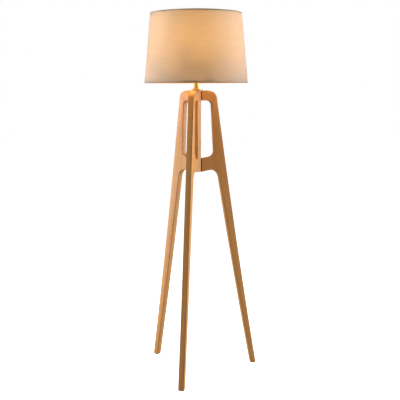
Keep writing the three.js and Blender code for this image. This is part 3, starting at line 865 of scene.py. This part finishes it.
def build_shade(shade, metal):
    outside = shade_side()
    low, high = heights_of("shade_cloth")
    linen = slub_linen(shade, "linen, plain woven from slub yarn", shade.linen, shade.slub, through=0.60)
    binding = slub_linen(shade, "linen tape, folded over the rim", shade.binding, shade.binding_slub,
                         through=0.05)
    wire = coated_wire(metal)
    # the cloth laps over itself at the back
    seam_angle = math.radians(90)
    seam_half = 6 * MM
    lap_height = 0.5 * MM

    def seam(radius, z, angle):
        away = abs((angle - seam_angle + math.pi) % TAU - math.pi) * radius
        lap = max(0.0, min(1.0, (seam_half - away) / (0.8 * MM)))
        return radius + lap_height * lap

    def wall(depth, thickness, rows=24):
        up = [(outside(z) - depth, z) for z in (low + (high - low) * i / rows for i in range(rows + 1))]
        down = [(r - thickness, z) for r, z in reversed(up)]
        return up + down
    cloth = turned("linen_cover", wall(0.8 * MM, 0.6 * MM), 256, shape=seam)
    film = turned("liner_film", wall(2.1 * MM, 0.4 * MM), 192)
    place(cloth, "shade", "linen", linen, "shade_cloth")
    place(film, "shade", "liner", styrene_film(shade), "shade_liner")
    girth = TAU * outside(low)
    slant = math.hypot(high - low, outside(low) - outside(high))
    area = math.pi * (outside(low) + outside(high)) * slant

    def tape(name, edge, direction, node_name):
        """Tape folded over a rim: down the outside, round the wire and up the inside."""
        depth, turn_in, thick = 3.0 * MM, 8 * MM, 0.5 * MM
        inside_depth = depth + 1.5 * MM
        section = [(0, depth), (0, 0.6 * MM), (0.8 * MM, 0), (turn_in - 1 * MM, 0), (turn_in, 1 * MM),
                   (turn_in, inside_depth), (turn_in - thick, inside_depth),
                   (turn_in - thick, 1.2 * MM), (turn_in - 1.2 * MM, thick), (1 * MM, thick),
                   (thick, 0.8 * MM), (thick, depth)]
        profile = []
        for inwards, up in section:
            z = edge + direction * up
            profile.append((outside(z) - inwards, z))
        band = turned(name, soften(profile, 0.4 * MM, 2), 256, sharp=60)
        place(band, "shade", "linen", binding, node_name)
    tape("lower_binding", low - 0.4 * MM, 1, "lower_trim")
    tape("upper_binding", high + 0.4 * MM, -1, "upper_trim")

    for name in ("lower_wire_ring", "upper_wire_ring"):
        bottom, top = heights_of(name)
        thick = (top - bottom) / 2
        ring_r = radius_of(name) - thick
        path = [(ring_r * math.cos(TAU * i / 160), ring_r * math.sin(TAU * i / 160), (top + bottom) / 2)
                for i in range(160)]
        place(swept(f"{name}_rod", path, thick, 14, closed=True), "shade", "wire", wire, name)

    low_f, high_f = heights_of("fitter_ring")
    rim = radius_of("fitter_ring")
    eye = 20 * MM
    plate = soften([(eye, low_f), (rim, low_f), (rim, high_f), (eye, high_f)], 0.6 * MM, 4)
    place(turned("fitter_plate", plate, 96), "shade", "wire", wire, "fitter_ring")

    ring_low, ring_high = heights_of("lower_wire_ring")
    ring_r = radius_of("lower_wire_ring") - (ring_high - ring_low) / 2
    top_z, end_z = (low_f + high_f) / 2, (ring_low + ring_high) / 2
    start = (rim - 0.6 * MM, top_z)
    bend = [start, (rim + 16 * MM, top_z - 1 * MM), (ring_r - 30 * MM, end_z + 8 * MM),
            (ring_r - 1 * MM, end_z)]
    route = [(x, 0, z) for x, z in [start] + bezier(bend, 28)]
    # the wire is a little thicker where it is welded, at both ends
    thick = [2 * MM] * len(route)
    thick[0], thick[-1] = 2.5 * MM, 2.6 * MM
    for index in range(3):
        turn = Matrix.Rotation(math.radians(90 + 120 * index), 3, "Z")
        arm = swept(f"shade_arm_{index + 1}", [turn @ Vector(p) for p in route], thick, 14)
        place(arm, "shade", "wire", wire, f"shade_spoke_{index + 1}")


def build_stage(stage):
    scene = bpy.context.scene
    floor_radius = 14
    bm = bmesh.new()
    bmesh.ops.create_circle(bm, cap_ends=True, segments=96, radius=floor_radius)
    floor = finish_mesh("studio_floor", bm)
    material, tree = new_material("studio floor, painted")
    # what is seen is lifted to an even white, and what lights the lamp is the plain grey of paint
    seen = node(tree, "ShaderNodeBsdfPrincipled", {
        "Base Color": linear(stage.floor), "Roughness": 0.8, "Specular IOR Level": 0.1,
        "Emission Color": WHITE, "Emission Strength": stage.floor_lift})
    lighting = node(tree, "ShaderNodeBsdfDiffuse", {"Color": linear(stage.floor_bounce)})
    path = node(tree, "ShaderNodeLightPath")
    show(tree, node(tree, "ShaderNodeMixShader", {0: path.outputs["Is Camera Ray"],
                                                  1: lighting.outputs[0], 2: seen.outputs[0]}))
    # the lift is there to be seen, and is not sampled as a light
    material.cycles.emission_sampling = "NONE"
    floor.data.materials.append(material)

    world = bpy.data.worlds.new("studio")
    scene.world = world
    world.use_nodes = True
    tree = world.node_tree
    tree.nodes.clear()
    seen = node(tree, "ShaderNodeBackground", {"Color": WHITE, "Strength": 1.0})
    # the room is dim behind the camera and brighter beside and behind the lamp
    away = Vector((math.sin(stage.azimuth), -math.cos(stage.azimuth), 0))
    direction = node(tree, "ShaderNodeTexCoord").outputs["Generated"]
    facing = node(tree, "ShaderNodeVectorMath", {0: direction, 1: away}, operation="DOT_PRODUCT")
    level = node(tree, "ShaderNodeMapRange", {0: facing.outputs["Value"], 1: 0.95, 2: -0.2,
                                              3: stage.ambient * stage.front_level,
                                              4: stage.ambient})
    warm = node(tree, "ShaderNodeMapRange", {0: facing.outputs["Value"], 1: 0.2, 2: 0.95})
    tint = node(tree, "ShaderNodeMix", {0: warm.outputs[0], 6: WHITE, 7: linear(stage.front_colour)},
                data_type="RGBA")
    lights = node(tree, "ShaderNodeBackground", {"Color": tint.outputs[2], "Strength": level.outputs[0]})
    path = node(tree, "ShaderNodeLightPath")
    both = node(tree, "ShaderNodeMixShader", {0: path.outputs["Is Camera Ray"], 1: lights.outputs[0],
                                              2: seen.outputs[0]})
    node(tree, "ShaderNodeOutputWorld", {"Surface": both.outputs[0]})

    # softboxes stand to the left and right of the lamp, a little behind it
    box_size = (1.8, 3.0)
    sideways, behind, box_height, aim_height = 2.6, 0.3, 1.3, 0.9
    side = Vector((math.cos(stage.azimuth), math.sin(stage.azimuth), 0))
    foot = Vector((AXIS.x, AXIS.y, 0))
    for name, sign in (("left_softbox", -1), ("right_softbox", 1)):
        lamp = bpy.data.lights.new(name, "AREA")
        lamp.shape = "RECTANGLE"
        lamp.size, lamp.size_y = box_size
        lamp.energy = stage.side_light
        box = bpy.data.objects.new(name, lamp)
        box.location = foot + side * sideways * sign - away * behind + Vector((0, 0, box_height))
        aim = foot + Vector((0, 0, aim_height)) - box.location
        box.rotation_euler = aim.to_track_quat("-Z", "Y").to_euler()
        box.visible_camera = False
        scene.collection.objects.link(box)

    data = bpy.data.cameras.new("camera")
    data.lens = stage.lens
    data.shift_x = stage.shift
    camera = bpy.data.objects.new("camera", data)
    camera.location = foot + away * stage.distance + Vector((0, 0, stage.height))
    turned_round = Matrix.Rotation(stage.azimuth, 4, "Z")
    tipped = Matrix.Rotation(math.radians(90) - stage.pitch, 4, "X")
    rolled = Matrix.Rotation(stage.roll, 4, "Z")
    camera.rotation_euler = (turned_round @ tipped @ rolled).to_euler()
    scene.collection.objects.link(camera)
    scene.camera = camera
    scene.view_settings.view_transform = "Standard"


# ---- operators ----


class FLOORLAMP_OT_stage(bpy.types.Operator):
    """Lay the floor, set the lights and stand the camera"""
    bl_idname = "floorlamp.stage"
    bl_label = "Stage"

    def execute(self, context):
        build_stage(context.scene.floorlamp_stage)
        return {"FINISHED"}


class FLOORLAMP_OT_stand(bpy.types.Operator):
    """Build the oak legs, their felt pads and the post between them"""
    bl_idname = "floorlamp.stand"
    bl_label = "Legs and Post"

    def execute(self, context):
        stand = context.scene.floorlamp_stand
        butt = AXIS.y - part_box("front_leg_board")[1].y
        wood, board_wood, felt = oiled_oak(stand), oiled_oak(stand, butt), wool_felt(stand)
        for side in LEGS:
            build_leg(side, stand, board_wood, felt)
            dress(f"{side}_top_dowel", wood)
            dress(f"{side}_bridge_dowel", wood)
        build_post(wood)
        return {"FINISHED"}


class FLOORLAMP_OT_metalwork(bpy.types.Operator):
    """Build the cap, the neck, the lampholder and the fixings inside them"""
    bl_idname = "floorlamp.metalwork"
    bl_label = "Neck and Lampholder"

    def execute(self, context):
        metal = context.scene.floorlamp_metal
        brass, zinc, plastic = lacquered_brass(metal), zinc_plate(metal), phenolic(metal)
        build_neck(brass)
        build_lampholder(metal, brass, plastic)
        for name in ("threaded_rod", "lower_washer", "lower_nut", "upper_washer", "upper_nut"):
            dress(name, zinc)
        for name in ("cord_bush", "socket_cup"):
            dress(name, plastic)
        for name in ("centre_contact", "front_terminal_screw", "rear_terminal_screw"):
            dress(name, brass)
        return {"FINISHED"}


class FLOORLAMP_OT_bulb(bpy.types.Operator):
    """Build the lit bulb"""
    bl_idname = "floorlamp.bulb"
    bl_label = "Bulb"

    def execute(self, context):
        metal = context.scene.floorlamp_metal
        shade = context.scene.floorlamp_shade
        glass = lit_glass(shade)
        build_bulb(metal, shade, zinc_plate(metal), lacquered_brass(metal), phenolic(metal), glass)
        return {"FINISHED"}


class FLOORLAMP_OT_shade(bpy.types.Operator):
    """Build the linen shade, its liner, bindings and wire frame"""
    bl_idname = "floorlamp.shade"
    bl_label = "Shade"

    def execute(self, context):
        build_shade(context.scene.floorlamp_shade, context.scene.floorlamp_metal)
        return {"FINISHED"}


class FLOORLAMP_PT_panel(bpy.types.Panel):
    """Lists the lamp's sizes, colours and building steps"""
    bl_idname = "FLOORLAMP_PT_panel"
    bl_label = "Floor Lamp"
    bl_space_type = "VIEW_3D"
    bl_region_type = "UI"
    bl_category = "Floor Lamp"

    def draw(self, context):
        for attribute, group in SETTINGS.items():
            settings = getattr(context.scene, attribute)
            column = self.layout.column(align=True)
            for name in group.__annotations__:
                column.prop(settings, name)
        for operator in OPERATORS:
            self.layout.operator(operator.bl_idname)


SETTINGS = {
    "floorlamp_stage": StageSettings,
    "floorlamp_stand": StandSettings,
    "floorlamp_metal": MetalSettings,
    "floorlamp_shade": ShadeSettings,
}
OPERATORS = [
    FLOORLAMP_OT_stage,
    FLOORLAMP_OT_stand,
    FLOORLAMP_OT_metalwork,
    FLOORLAMP_OT_bulb,
    FLOORLAMP_OT_shade,
]


def register():
    for group in (*SETTINGS.values(), *OPERATORS, FLOORLAMP_PT_panel):
        bpy.utils.register_class(group)
    for attribute, group in SETTINGS.items():
        setattr(bpy.types.Scene, attribute, PointerProperty(type=group))


def unregister():
    for attribute in SETTINGS:
        delattr(bpy.types.Scene, attribute)
    for group in (FLOORLAMP_PT_panel, *reversed(OPERATORS), *reversed(SETTINGS.values())):
        bpy.utils.unregister_class(group)


def main():
    register()
    bpy.ops.floorlamp.stage()
    bpy.ops.floorlamp.stand()
    bpy.ops.floorlamp.metalwork()
    bpy.ops.floorlamp.bulb()
    bpy.ops.floorlamp.shade()


if __name__ == "__main__":
    main()
